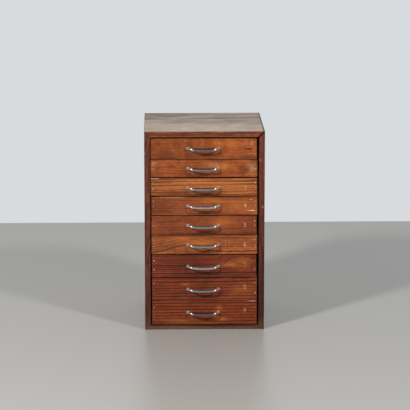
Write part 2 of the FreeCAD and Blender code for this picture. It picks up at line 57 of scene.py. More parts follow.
class Nodes:
    """A node tree written as plain calls. Nearly every method returns an output socket."""

    def __init__(self, tree):
        self.tree = tree
        tree.nodes.clear()

    def add(self, kind, **settings):
        node = self.tree.nodes.new(kind)
        for name, value in settings.items():
            setattr(node, name, value)
        return node

    def feed(self, socket, value):
        """Link a socket, or set its plain value."""
        if isinstance(value, bpy.types.NodeSocket):
            self.tree.links.new(value, socket)
        elif isinstance(value, tuple) and socket.type == "RGBA":
            socket.default_value = (*value, 1.0)
        elif value is not None:
            socket.default_value = value

    def math(self, operation, *values, clamp=False):
        node = self.add("ShaderNodeMath", operation=operation, use_clamp=clamp)
        for socket, value in zip(node.inputs, values):
            self.feed(socket, value)
        return node.outputs[0]

    def plus(self, first, second):
        return self.math("ADD", first, second)

    def minus(self, first, second):
        return self.math("SUBTRACT", first, second)

    def times(self, first, second):
        return self.math("MULTIPLY", first, second)

    def length(self, first, second):
        """Length of the hypotenuse."""
        squares = self.plus(self.times(first, first), self.times(second, second))
        return self.math("SQRT", squares)

    def split(self):
        """Object coordinates in metres, one socket for each axis."""
        node = self.add("ShaderNodeSeparateXYZ")
        self.feed(node.inputs[0], self.add("ShaderNodeTexCoord").outputs["Object"])
        return list(node.outputs)

    def join(self, x, y, z):
        node = self.add("ShaderNodeCombineXYZ")
        for socket, value in zip(node.inputs, (x, y, z)):
            self.feed(socket, value)
        return node.outputs[0]

    def noise(self, place, scales, shift=0.0, detail=2.0, roughness=0.5):
        """Noise with its own scale along each axis, in features a metre.

        The shift moves it to another place in the noise, so that no two boards are alike.
        """
        node = self.add("ShaderNodeVectorMath", operation="MULTIPLY_ADD")
        self.feed(node.inputs[0], place)
        self.feed(node.inputs[1], Vector(scales))
        self.feed(node.inputs[2], Vector((shift, shift * 0.7, shift * 1.3)))
        texture = self.add("ShaderNodeTexNoise", noise_dimensions="3D")
        self.feed(texture.inputs["Vector"], node.outputs[0])
        self.feed(texture.inputs["Scale"], 1.0)
        self.feed(texture.inputs["Detail"], detail)
        self.feed(texture.inputs["Roughness"], roughness)
        return texture.outputs["Fac"]

    def line_noise(self, value, scale, shift=0.0, detail=1.0):
        """Noise along one number."""
        texture = self.add("ShaderNodeTexNoise", noise_dimensions="1D")
        self.feed(texture.inputs["W"], self.math("MULTIPLY_ADD", value, scale, shift))
        self.feed(texture.inputs["Scale"], 1.0)
        self.feed(texture.inputs["Detail"], detail)
        return texture.outputs["Fac"]

    def step(self, value, low, high, to_low=0.0, to_high=1.0):
        """A smooth step from low to high, which falls where low is the larger.

        The ranges below are such pairs: where a change starts, and where it is full.
        """
        node = self.add("ShaderNodeMapRange", interpolation_type="SMOOTHSTEP")
        if low > high:
            low, high, to_low, to_high = high, low, to_high, to_low
        for socket, item in zip(node.inputs, (value, low, high, to_low, to_high)):
            self.feed(socket, item)
        return node.outputs[0]

    def mix(self, factor, first, second):
        """From the first colour at 0 to the second at 1."""
        node = self.add("ShaderNodeMix", data_type="RGBA", blend_type="MIX")
        # A mix of colours has its colours in these sockets, after those of other kinds
        self.feed(node.inputs[0], factor)
        self.feed(node.inputs[6], first)
        self.feed(node.inputs[7], second)
        return node.outputs[2]

    def shade(self, color, value):
        """A colour multiplied by a number."""
        node = self.add("ShaderNodeVectorMath", operation="SCALE")
        self.feed(node.inputs[0], color)
        self.feed(node.inputs["Scale"], value)
        return node.outputs[0]

    def bump(self, height, distance, under=None):
        node = self.add("ShaderNodeBump")
        self.feed(node.inputs["Distance"], distance)
        self.feed(node.inputs["Height"], height)
        self.feed(node.inputs["Normal"], under)
        return node.outputs[0]

    def surface(self, color, roughness, normal, **constants):
        """The one shader of a material. Constants are set on its own sockets."""
        shader = self.add("ShaderNodeBsdfPrincipled")
        for name, value in constants.items():
            self.feed(shader.inputs[name.replace("_", " ")], value)
        self.feed(shader.inputs["Base Color"], color)
        self.feed(shader.inputs["Roughness"], roughness)
        self.feed(shader.inputs["Normal"], normal)
        output = self.add("ShaderNodeOutputMaterial")
        self.tree.links.new(shader.outputs[0], output.inputs[0])


def new_material(name):
    """A material and its empty node tree."""
    material = bpy.data.materials.new(name)
    material.use_nodes = True
    return material, Nodes(material.node_tree)


def finish_node(node, material):
    """Give a carried-over solid its finish."""
    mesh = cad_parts[node].data
    mesh.materials.clear()
    mesh.materials.append(material)


# ------------------------------------------------------------------ camera, room, lamps

CAMERA_PLACE = (-0.1374, -6.221, 1.5938)
CAMERA_PITCH = math.radians(11.407)
CAMERA_YAW = math.radians(1.313)
CAMERA_LENS = 186.0
CAMERA_SENSOR = 36.0
CAMERA_REACH = 60.0
WALL_Y = 1.36
ROOM_REACH = 9.0
WALL_HEIGHT = 3.2
WALL_COLOR = (0.69, 0.71, 0.725)
FLOOR_COLOR = (0.33, 0.32, 0.30)
FLOOR_ROUGHNESS = 0.34
KEY_PLACE = (-2.5, -3.0, 2.55)
KEY_SIZE = 0.45
KEY_POWER = 198.0
KEY_COLOR = (1.0, 0.985, 0.96)
FILL_PLACE = (2.5, -3.0, 2.95)
FILL_SIZE = 0.5
FILL_POWER = 128.0
FILL_COLOR = (0.96, 0.98, 1.0)
LAMP_AIM = (0.0, -0.1, 0.3)
AMBIENT_COLOR = (0.14, 0.1414, 0.1442)
MIRRORED_BEHIND = (0.26, 0.28, 0.30)
MIRRORED_CEILING = (0.05, 0.06, 0.08)
MIRRORED_SIDES = (1.9, 1.95, 2.0)


def make_camera():
    """A long lens at a standing person's eye level, a little left of the cabinet."""
    data = bpy.data.cameras.new("camera")
    data.sensor_width = CAMERA_SENSOR
    data.lens = CAMERA_LENS
    data.clip_end = CAMERA_REACH
    camera = bpy.data.objects.new("camera", data)
    camera.location = CAMERA_PLACE
    camera.rotation_euler = (math.pi / 2 - CAMERA_PITCH, 0, -CAMERA_YAW)
    bpy.context.collection.objects.link(camera)
    bpy.context.scene.camera = camera


def make_sheet(name, corners, material):
    """One flat stage surface."""
    mesh = bpy.data.meshes.new(name)
    mesh.from_pydata(corners, [], [(0, 1, 2, 3)])
    mesh.materials.append(material)
    sheet = bpy.data.objects.new(name, mesh)
    bpy.context.collection.objects.link(sheet)


def make_room():
    """A plain pale floor, and a plain wall that shows its front side only."""
    material, nodes = new_material("floor_finish")
    nodes.surface(FLOOR_COLOR, FLOOR_ROUGHNESS, None)
    reach = ROOM_REACH
    corners = [(-reach, -reach, 0), (reach, -reach, 0), (reach, reach, 0), (-reach, reach, 0)]
    make_sheet("floor", corners, material)

    material, nodes = new_material("wall_finish")
    glow = nodes.add("ShaderNodeEmission")
    nodes.feed(glow.inputs["Color"], WALL_COLOR)
    clear = nodes.add("ShaderNodeBsdfTransparent")
    pick = nodes.add("ShaderNodeMixShader")
    nodes.feed(pick.inputs[0], nodes.add("ShaderNodeNewGeometry").outputs["Backfacing"])
    nodes.tree.links.new(glow.outputs[0], pick.inputs[1])
    nodes.tree.links.new(clear.outputs[0], pick.inputs[2])
    output = nodes.add("ShaderNodeOutputMaterial")
    nodes.tree.links.new(pick.outputs[0], output.inputs[0])
    wall = [
        (-reach, WALL_Y, 0),
        (reach, WALL_Y, 0),
        (reach, WALL_Y, WALL_HEIGHT),
        (-reach, WALL_Y, WALL_HEIGHT),
    ]
    make_sheet("wall", wall, material)


def make_lamp(name, place, size, power, color):
    """A soft square lamp that looks at the cabinet. Metal mirrors the room, not the lamp."""
    data = bpy.data.lights.new(name, "AREA")
    data.size = size
    data.energy = power
    data.color = color
    lamp = bpy.data.objects.new(name, data)
    lamp.location = place
    aim = Vector(LAMP_AIM) - Vector(place)
    lamp.rotation_euler = aim.to_track_quat("-Z", "Y").to_euler()
    lamp.visible_glossy = False
    bpy.context.collection.objects.link(lamp)


def make_world():
    """Soft light from all round. Metal mirrors a dim room with bright sides, dark overhead."""
    world = bpy.data.worlds.new("room")
    world.use_nodes = True
    bpy.context.scene.world = world
    nodes = Nodes(world.node_tree)
    split = nodes.add("ShaderNodeSeparateXYZ")
    nodes.feed(split.inputs[0], nodes.add("ShaderNodeTexCoord").outputs["Generated"])
    behind = nodes.step(split.outputs[1], 0.1, -0.6)
    aside = nodes.step(nodes.math("ABSOLUTE", split.outputs[0]), 0.62, 0.80)
    overhead = nodes.step(split.outputs[2], 0.12, 0.42)
    shown = nodes.mix(behind, WALL_COLOR, MIRRORED_BEHIND)
    shown = nodes.mix(overhead, shown, MIRRORED_CEILING)
    shown = nodes.mix(aside, shown, MIRRORED_SIDES)
    rays = nodes.add("ShaderNodeLightPath").outputs
    mirrored = nodes.math("MAXIMUM", rays["Is Glossy Ray"], rays["Is Transmission Ray"])
    color = nodes.mix(mirrored, AMBIENT_COLOR, shown)
    color = nodes.mix(rays["Is Camera Ray"], color, WALL_COLOR)
    glow = nodes.add("ShaderNodeBackground")
    nodes.feed(glow.inputs["Color"], color)
    output = nodes.add("ShaderNodeOutputWorld")
    nodes.tree.links.new(glow.outputs[0], output.inputs[0])


bpy.context.scene.view_settings.view_transform = "Standard"
make_camera()
make_room()
make_lamp("key", KEY_PLACE, KEY_SIZE, KEY_POWER, KEY_COLOR)
make_lamp("fill", FILL_PLACE, FILL_SIZE, FILL_POWER, FILL_COLOR)
make_world()


# ------------------------------------------------------------------ wood

# Which coordinate runs along the grain, across the board's face, and into the board
GRAIN_X, GRAIN_Y, GRAIN_Z, TOP_GRAIN = (0, 2, 1), (1, 2, 0), (2, 0, 1), (0, 1, 2)

# How fine each noise in the wood is, in features a metre along those three
WANDER_SCALE = (3.0, 9.0, 9.0)
FIBRE_SCALE = (14.0, 950.0, 950.0)
STREAK_SCALE = (3.2, 260.0, 260.0)
BLOTCH_SCALE = (9.0, 26.0, 26.0)
FLECK_SCALE = (60.0, 240.0, 240.0)

# How deep rings, streaks and fibres stand in the surface
RING_RELIEF = 0.10 * MM
STREAK_RELIEF = 0.16 * MM
FIBRE_RELIEF = 0.10 * MM

# What every look of wood says, unless it says otherwise itself. A look also has its pith
# (across and into the board), its ring's width, its seed, its early, late, bare and dirt
# colours, and how strong the contrast of its rings and its blotches are. It has a turn
# where a cross piece starts behind the others.
USUAL_LOOK = dict(
    drift=(0.0, 0.0),  # how far the pith strays over a metre, across and into the board
    wander=0.008,  # how far the rings stray from round
    uneven=1.6,  # how much the rings differ in width
    onset=0.35,  # where in a ring the late wood starts
    faintest=0.35,  # how strong the faintest ring is
    swirls=(),  # where rings bulge: along, across, half length, half height, push
    eyes=(),  # where rings close round a knot: along, across, stretch, sink
    figure=0.2,  # how strong the streaks are
    blotch_scale=BLOTCH_SCALE,
    painted_light_slope=(1.0, 1.0),  # painted light: how bright the two ends are
    patches_and_glints=(),  # along, across, half length, half height, tint, strength
    scratches_and_shade_lines=(),  # a mark as in scratch(), tint, strength
    grime=0.3,  # how much dirt lies along the arrises, and how far in it reaches
    grime_reach=6 * MM,
    rub=0.35,  # how far the arrises are rubbed bare
    gap_shade=0.0,  # how black the painted shade on the edges next to a gap is
    roughness=0.40,
    shine=0.30,
)


class Board:
    """A board's own coordinates in metres from its middle, and the noises of its wood."""

    def __init__(self, nodes, box, axes, look):
        low, high = box
        centre = (low + high) / 2
        half = (high - low) / 2
        self.place = nodes.split()
        self.half_long, self.half_wide, self.half_deep = (half[axis] for axis in axes)
        along, across, deep = (nodes.minus(self.place[axis], centre[axis]) for axis in axes)
        self.inset_long = nodes.minus(self.half_long, nodes.math("ABSOLUTE", along))
        self.inset_wide = nodes.minus(self.half_wide, nodes.math("ABSOLUTE", across))
        self.inset_deep = nodes.minus(self.half_deep, nodes.math("ABSOLUTE", deep))
        if "turn" in look:
            # Behind this place the board is a cross piece, so its grain runs the other way
            turned = nodes.step(self.place[axes[0]], look["turn"] - 0.1 * MM, look["turn"])
            to_deep = nodes.times(turned, nodes.minus(deep, along))
            to_along = nodes.times(turned, nodes.minus(along, deep))
            along = nodes.plus(along, to_deep)
            deep = nodes.plus(deep, to_along)
        self.along, self.across, self.deep = along, across, deep
        self.spot = nodes.join(along, across, deep)
        # Fibres and streaks along the grain, blotches where the stain took unevenly, flecks
        seed = look["seed"]
        self.fibre = nodes.noise(self.spot, FIBRE_SCALE, seed, 3.0, 0.6)
        self.streak = nodes.noise(self.spot, STREAK_SCALE, seed + 3.0, 3.0, 0.6)
        self.blotch = nodes.noise(self.spot, look["blotch_scale"], seed + 7.0, 4.0, 0.6)
        self.fleck = nodes.noise(self.spot, FLECK_SCALE, seed + 13.0, 2.0, 0.6)


def patch(nodes, along, across, spot_along, spot_across, half_long, half_wide):
    """A soft oval, 1 in its middle."""
    far_along = nodes.times(nodes.minus(along, spot_along), 1 / half_long)
    far_across = nodes.times(nodes.minus(across, spot_across), 1 / half_wide)
    far = nodes.length(far_along, far_across)
    return nodes.math("EXPONENT", nodes.times(nodes.times(far, far), -1.0))


def scratch(nodes, board, ragged, mark):
    """A mark's cover, from 0 to 1. mark: along, across, half length, half height, softness."""
    spot_along, spot_across, half_long, half_wide, soft = mark
    off_along = nodes.math("ABSOLUTE", nodes.minus(board.along, spot_along))
    off_across = nodes.math("ABSOLUTE", nodes.minus(board.across, spot_across))
    far_along = nodes.math("MAXIMUM", nodes.minus(off_along, half_long), 0.0)
    far_across = nodes.math("MAXIMUM", nodes.minus(off_across, half_wide), 0.0)
    far = nodes.length(far_along, far_across)
    far = nodes.math("MULTIPLY_ADD", nodes.minus(ragged, 0.5), soft, far)
    return nodes.step(far, soft, 0.0)


def rings(nodes, board, look):
    """How much late wood a place has, from 0 to 1: saw-toothed rings round a wandering pith."""
    eye_blend = 6 * MM
    seed = look["seed"]
    wander = look["wander"]
    pith_across, pith_deep = look["pith"]
    drift_across, drift_deep = look["drift"]
    sway = nodes.minus(nodes.noise(board.spot, WANDER_SCALE, seed), 0.5)
    heave = nodes.minus(nodes.noise(board.spot, WANDER_SCALE, seed + 40.0), 0.5)
    middle_across = nodes.math("MULTIPLY_ADD", board.along, drift_across, pith_across)
    middle_deep = nodes.math("MULTIPLY_ADD", board.along, drift_deep, pith_deep)
    off_across = nodes.minus(board.across, middle_across)
    off_deep = nodes.minus(board.deep, middle_deep)
    off_across = nodes.math("MULTIPLY_ADD", sway, wander, off_across)
    off_deep = nodes.math("MULTIPLY_ADD", heave, wander, off_deep)
    radius = nodes.length(off_across, off_deep)
    for *oval, push in look["swirls"]:
        bulge = patch(nodes, board.along, board.across, *oval)
        radius = nodes.math("MULTIPLY_ADD", bulge, push, radius)
    for spot_along, spot_across, stretch, sink in look["eyes"]:
        core = math.hypot(spot_across - pith_across, pith_deep) - sink
        far_along = nodes.times(nodes.minus(board.along, spot_along), 1 / stretch)
        far_across = nodes.minus(board.across, spot_across)
        far_across = nodes.math("MULTIPLY_ADD", sway, wander, far_across)
        far = nodes.plus(nodes.length(far_along, far_across), core)
        radius = nodes.math("SMOOTH_MIN", radius, far, eye_blend)
    ring = nodes.times(radius, 1 / look["ring"])
    stray = nodes.minus(nodes.line_noise(ring, 0.35, seed, 2.0), 0.5)
    ring = nodes.math("MULTIPLY_ADD", stray, look["uneven"], ring)
    within = nodes.math("FRACT", ring)
    onset = look["onset"]
    late = nodes.step(within, onset, onset / 2 + 0.6)
    late = nodes.times(late, nodes.step(within, 1.0, 0.90))
    strong = nodes.line_noise(ring, 0.8, seed + 9.0)
    return nodes.times(late, nodes.step(strong, 0.3, 0.65, look["faintest"], 1.0))


def stained(nodes, board, look, late):
    """Early and late wood under one stain, toned by the noises, with painted light from end to
    end.
    """
    color = nodes.mix(nodes.times(late, look["contrast"]), look["early"], look["late"])
    figure, spread = look["figure"], look["blotch"]
    tone = nodes.step(board.streak, 0.25, 0.75, 1 - figure, 1 + figure)
    tone = nodes.times(tone, nodes.step(board.fibre, 0.3, 0.7, 0.92, 1.06))
    tone = nodes.times(tone, nodes.step(board.fleck, 0.30, 0.70, 0.78, 1.20))
    tone = nodes.times(tone, nodes.step(board.blotch, 0.32, 0.68, 1 - spread, 1 + spread))
    # Painted light: one end of a front is painted darker than the other
    start, end = look["painted_light_slope"]
    if start != end:
        painted_light_ramp = nodes.step(board.along, -board.half_long, board.half_long, start, end)
        tone = nodes.times(tone, painted_light_ramp)
    return nodes.shade(color, tone)


def marked(nodes, board, look, color):
    """Patches of another tint, some of them painted reflections, and ragged scratches on the face
    that is seen in front, one of them a painted shadow line.
    """
    scratch_depth = 4 * MM
    face = -board.half_deep
    for *oval, tint, strength in look["patches_and_glints"]:
        cover = nodes.times(patch(nodes, board.along, board.across, *oval), strength)
        cover = nodes.times(cover, nodes.step(board.blotch, 0.25, 0.6, 0.35, 1.0))
        color = nodes.mix(cover, color, tint)
    skin = nodes.step(board.deep, face + scratch_depth, face + scratch_depth / 2)
    ragged = nodes.math("MULTIPLY_ADD", nodes.minus(board.fleck, 0.5), 0.9, board.streak)
    broken = nodes.times(skin, nodes.step(board.fleck, 0.32, 0.50, 0.55, 1.0))
    for mark, tint, strength in look["scratches_and_shade_lines"]:
        cover = nodes.times(scratch(nodes, board, ragged, mark), broken)
        color = nodes.mix(nodes.times(cover, strength), color, tint)
    return color


def worn(nodes, board, look, color):
    """Grime towards the arrises, which are rubbed paler, and painted shade that blackens the edges
    along the gaps.

    It gives the colour and how much grime there is. On a face one of the three insets is
    0, so the middle one is how far the nearest arris is.
    """
    grime_ragged = 8 * MM
    rub_range = (1.3 * MM, 0.3 * MM)
    gap_shade_range = (0.55 * MM, 0.15 * MM)
    edge = nodes.math("MINIMUM", board.inset_long, board.inset_wide)
    farther = nodes.math("MAXIMUM", board.inset_long, board.inset_wide)
    arris = nodes.math("MAXIMUM", edge, nodes.math("MINIMUM", farther, board.inset_deep))
    ragged = nodes.math("MULTIPLY_ADD", nodes.minus(board.blotch, 0.5), grime_ragged, arris)
    grime = nodes.step(ragged, look["grime_reach"], 0.0)
    color = nodes.mix(nodes.times(grime, look["grime"]), color, look["dirt"])
    rub = nodes.step(arris, *rub_range)
    rub = nodes.times(rub, nodes.step(board.blotch, 0.5, 0.62))
    color = nodes.mix(nodes.times(rub, look["rub"]), color, look["bare"])
    # Painted shade: the edges of a front next to the gaps are darkened like the shadow in the gaps
    gap_shade = nodes.step(edge, *gap_shade_range)
    color = nodes.shade(color, nodes.math("MULTIPLY_ADD", gap_shade, -look["gap_shade"], 1.0))
    return color, grime


def wood(name, box, axes, own_look, extra=None):
    """A board cut from a log: rings, fibres, blotches, marks, grime and rubbed arrises.

    Every place in a look is measured from the middle of the board, in metres, apart from
    turn, which is a coordinate of the part. extra may be a function of the nodes, the
    board and the colour that gives a changed colour.
    """
    material, nodes = new_material(name)
    look = {**USUAL_LOOK, **own_look}
    board = Board(nodes, box, axes, look)
    late = rings(nodes, board, look)
    color = stained(nodes, board, look, late)
    color = marked(nodes, board, look, color)
    color, grime = worn(nodes, board, look, color)
    if extra:
        color = extra(nodes, board, color)
    smoothest = look["roughness"] - 0.06
    roughest = look["roughness"] + 0.10
    rough = nodes.step(board.streak, 0.2, 0.8, smoothest, roughest)
    rough = nodes.math("MULTIPLY_ADD", grime, 0.12, rough)
    relief = nodes.bump(late, RING_RELIEF)
    relief = nodes.bump(board.streak, STREAK_RELIEF, relief)
    relief = nodes.bump(board.fibre, FIBRE_RELIEF, relief)
    nodes.surface(color, rough, relief, Specular_IOR_Level=look["shine"])
    return material


def srgb(red, green, blue):
    """A colour written as screen values from 0 to 255."""
    values = []
    for value in (red, green, blue):
        share = value / 255
        values.append(share / 12.92 if share < 0.04045 else ((share + 0.055) / 1.055) ** 2.4)
    return tuple(values)


PALE = srgb(232, 200, 158)
HAZE = srgb(196, 150, 116)
DARK = srgb(38, 20, 14)
UMBER = srgb(84, 40, 22)
ORANGE = srgb(196, 112, 48)
RUBBED = srgb(190, 128, 76)

# The fronts from the top one down: softwood under one old stain, each with its own figure
FRONTS = {
    1: dict(pith=(-0.16, 0.05), drift=(0.03, 0.02), ring=0.0062, wander=0.03, contrast=0.30,
            early=srgb(135, 70, 34), late=srgb(95, 42, 19), blotch=0.23, painted_light_slope=(0.83, 1.05),
            blotch_scale=(30.0, 16.0, 16.0), rub=0.1,
            patches_and_glints=(
                (0.139, 0.016, 0.004, 0.008, HAZE, 0.35),
                (0.045, 0.016, 0.050, 0.010, ORANGE, 0.5),
                (-0.10, -0.020, 0.060, 0.010, UMBER, 0.4),
                (0.134, -0.026, 0.026, 0.006, UMBER, 0.8)),
            scratches_and_shade_lines=(
                # The first mark is painted shadow: a dark line along the top edge for the shade in
                # the gap under the case's top
                ((0.0, 0.0310, 0.158, 0.0013, 0.0010), DARK, 0.98),
                ((0.131, -0.001, 0.007, 0.0010, 0.0018), DARK, 0.98),
                ((-0.125, -0.028, 0.030, 0.0006, 0.003), UMBER, 0.6))),
    2: dict(pith=(0.14, 0.042), drift=(-0.02, 0.03), ring=0.0070, wander=0.03, contrast=0.36,
            early=srgb(132, 68, 33), late=srgb(95, 41, 18), blotch=0.23,
            blotch_scale=(34.0, 20.0, 20.0),
            patches_and_glints=(
                (0.030, 0.012, 0.016, 0.007, HAZE, 0.35),
                (0.140, 0.002, 0.010, 0.018, HAZE, 0.35),
                (-0.098, 0.008, 0.007, 0.006, UMBER, 0.7),
                (-0.143, 0.018, 0.008, 0.005, HAZE, 0.4),
                (0.123, -0.004, 0.010, 0.007, UMBER, 0.6),
                (0.055, 0.006, 0.035, 0.010, ORANGE, 0.45))),
    3: dict(pith=(-0.20, 0.03), drift=(0.01, 0.0), ring=0.0076, wander=0.006, contrast=0.95,
            early=srgb(151, 88, 46), late=srgb(80, 35, 19), blotch=0.18, figure=0.26,
            patches_and_glints=(
                (0.00, 0.010, 0.07, 0.018, ORANGE, 0.45),
                (-0.09, -0.018, 0.075, 0.010, UMBER, 0.7),
                (0.02, -0.021, 0.05, 0.008, UMBER, 0.5)),
            scratches_and_shade_lines=(
                ((-0.143, 0.0252, 0.011, 0.0004, 0.0014), PALE, 0.65),
                ((0.03, 0.0125, 0.12, 0.0004, 0.0020), RUBBED, 0.55))),
    4: dict(pith=(-0.14, 0.05), drift=(-0.02, 0.02), ring=0.0070, wander=0.012, contrast=0.75,
            early=srgb(136, 71, 38), late=srgb(84, 38, 21), blotch=0.22, painted_light_slope=(0.79, 1.10),
            patches_and_glints=(
                (0.10, 0.004, 0.05, 0.020, ORANGE, 0.30),
                (0.136, -0.0143, 0.0110, 0.0008, PALE, 0.95),
                (0.02, 0.016, 0.03, 0.008, ORANGE, 0.45),
                (-0.12, 0.0, 0.03, 0.02, UMBER, 0.35)),
            scratches_and_shade_lines=(
                ((0.141, -0.0140, 0.0040, 0.0001, 0.0016), PALE, 0.95),
                ((-0.095, 0.0262, 0.034, 0.0005, 0.0014), RUBBED, 0.7),
                ((0.135, 0.018, 0.0022, 0.0006, 0.0020), HAZE, 0.6))),
    5: dict(pith=(0.13, 0.06), drift=(0.02, 0.01), ring=0.0066, wander=0.02, contrast=0.55,
            early=srgb(120, 60, 33), late=srgb(87, 38, 21), blotch=0.20, painted_light_slope=(1.00, 0.98),
            patches_and_glints=(
                (0.050, 0.010, 0.040, 0.014, ORANGE, 0.35),
                (-0.10, -0.010, 0.04, 0.016, UMBER, 0.4)),
            scratches_and_shade_lines=(
                ((0.0, -0.0265, 0.15, 0.0006, 0.003), UMBER, 0.7),
                ((-0.10, 0.010, 0.02, 0.0005, 0.004), UMBER, 0.5))),
    6: dict(pith=(-0.10, 0.02), drift=(0.02, 0.0), ring=0.0070, wander=0.006, contrast=0.95,
            early=srgb(147, 81, 42), late=srgb(83, 36, 21), blotch=0.14, painted_light_slope=(0.87, 1.08),
            figure=0.22, onset=0.3, swirls=((-0.054, -0.004, 0.062, 0.060, -0.020),),
            patches_and_glints=(
                (-0.005, 0.006, 0.045, 0.008, ORANGE, 0.7),
                (-0.065, 0.019, 0.030, 0.005, ORANGE, 0.5),
                (0.08, 0.020, 0.06, 0.006, UMBER, 0.5),
                (-0.11, -0.004, 0.04, 0.012, UMBER, 0.35)),
            scratches_and_shade_lines=(
                ((0.062, 0.005, 0.0002, 0.0080, 0.0007), RUBBED, 0.65),
                ((0.074, 0.003, 0.0002, 0.0060, 0.0007), RUBBED, 0.50),
                ((0.068, 0.013, 0.0060, 0.0002, 0.0007), RUBBED, 0.50))),
    7: dict(pith=(-0.16, 0.03), drift=(0.01, 0.0), ring=0.0056, wander=0.008, contrast=1.0,
            early=srgb(113, 49, 29), late=srgb(52, 18, 12), blotch=0.20, painted_light_slope=(0.97, 0.98),
            eyes=((0.108, -0.001, 1.7, 0.024),),
            patches_and_glints=(
                (0.112, 0.012, 0.024, 0.020, ORANGE, 0.26),
                (0.076, 0.003, 0.026, 0.008, ORANGE, 0.45),
                (-0.08, 0.020, 0.08, 0.014, UMBER, 0.5),
                (0.02, -0.026, 0.12, 0.008, UMBER, 0.6))),
    8: dict(pith=(-0.25, 0.02), drift=(0.006, 0.0), ring=0.0086, wander=0.004, contrast=1.0,
            early=srgb(112, 50, 27), late=srgb(39, 14, 9), blotch=0.12, painted_light_slope=(0.93, 1.00),
            figure=0.14, faintest=0.6, onset=0.5, uneven=0.7,
            patches_and_glints=(
                # Painted reflection: the first patch is an orange glow the chrome handle throws on
                # the wood left of its left foot
                (-0.055, 0.014, 0.014, 0.004, ORANGE, 0.45),
                (0.11, -0.004, 0.04, 0.016, ORANGE, 0.22),
                (-0.13, 0.004, 0.03, 0.02, UMBER, 0.30))),
    9: dict(pith=(0.22, 0.03), drift=(0.004, 0.0), ring=0.0090, wander=0.005, contrast=1.0,
            early=srgb(115, 51, 24), late=srgb(43, 15, 8), blotch=0.12, painted_light_slope=(0.95, 1.03),
            figure=0.14, faintest=0.6, onset=0.5, uneven=0.7,
            patches_and_glints=(
                (0.140, 0.0338, 0.0100, 0.0008, PALE, 0.9),
                # Painted reflection: the second patch is the orange glow the chrome handle throws
                # on the wood above its right foot
                (0.043, 0.014, 0.009, 0.006, srgb(196, 108, 60), 0.38),
                (0.048, -0.020, 0.016, 0.005, ORANGE, 0.5),
                (-0.06, -0.026, 0.08, 0.006, ORANGE, 0.25)),
            scratches_and_shade_lines=(
                ((0.145, 0.0336, 0.0035, 0.0001, 0.0014), PALE, 0.9),)),
}

# How black the painted shade in the gaps round each front is
GAP_SHADES = {1: 0.93, 2: 0.70, 3: 0.93, 4: 0.88, 5: 0.75, 6: 0.75, 7: 0.95, 8: 0.75, 9: 0.62}
# How far short of a front's back the stain ends, which is also how softly it ends
STAIN_MARGIN = 1.5 * MM
STAIN_RAGGED = 3 * MM


def bare_behind(start):
    """The stain stops at a depth: the back of a front is raw, and a little dirty."""
    def change(nodes, board, color):
        ragged = nodes.math("MULTIPLY_ADD", board.streak, STAIN_RAGGED, board.place[1])
        behind = nodes.step(ragged, start, start + STAIN_MARGIN)
        raw = nodes.mix(board.streak, srgb(150, 104, 66), srgb(188, 142, 96))
        return nodes.mix(behind, color, raw)
    return change


for number in DRAWERS:
    node = f"drawer_{number}_front"
    look = dict(FRONTS[number], seed=11.0 * number, bare=RUBBED, dirt=UMBER, gap_shade=GAP_SHADES[number])
    stain = bare_behind(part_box(node)[1].y - STAIN_MARGIN)
    finish_node(node, wood(f"front_{number}_finish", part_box(node), GRAIN_X, look, stain))

CASE_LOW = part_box("case_side_left")[0]
CASE_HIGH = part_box("case_side_right")[1]
INNER_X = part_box("case_side_right")[0].x
TOP_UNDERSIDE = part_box("case_top")[0].z
MITRE_SLOPE = (CASE_HIGH.x - INNER_X) / (CASE_HIGH.z - TOP_UNDERSIDE)
TIGHT_MITRE = 0.7 * MM
OPEN_MITRE = 4.6 * MM


def mitre_line(nodes, board, color):
    """Dirt in the joint where a side meets the top. The right joint has opened, and the shade in
    its gap is painted near black.
    """
    x, y, z = board.place
    from_side = nodes.minus(CASE_HIGH.x, nodes.math("ABSOLUTE", x))
    from_top = nodes.minus(CASE_HIGH.z, z)
    off = nodes.math("ABSOLUTE", nodes.minus(from_side, nodes.times(from_top, MITRE_SLOPE)))
    width = nodes.step(x, 0.0, 1 * MM, TIGHT_MITRE, OPEN_MITRE)
    width = nodes.times(width, nodes.step(board.streak, 0.25, 0.75, 0.6, 1.4))
    far = nodes.math("DIVIDE", off, width)
    dirt = nodes.math("EXPONENT", nodes.times(nodes.times(far, far), -1.0))
    # Painted shade: the open gap of the right joint is painted near black
    open_joint_shade = nodes.step(far, 0.66, 0.50)
    cover = nodes.math("MAXIMUM", nodes.times(dirt, 0.85), open_joint_shade)
    return nodes.mix(nodes.times(cover, 0.96), color, srgb(22, 12, 9))


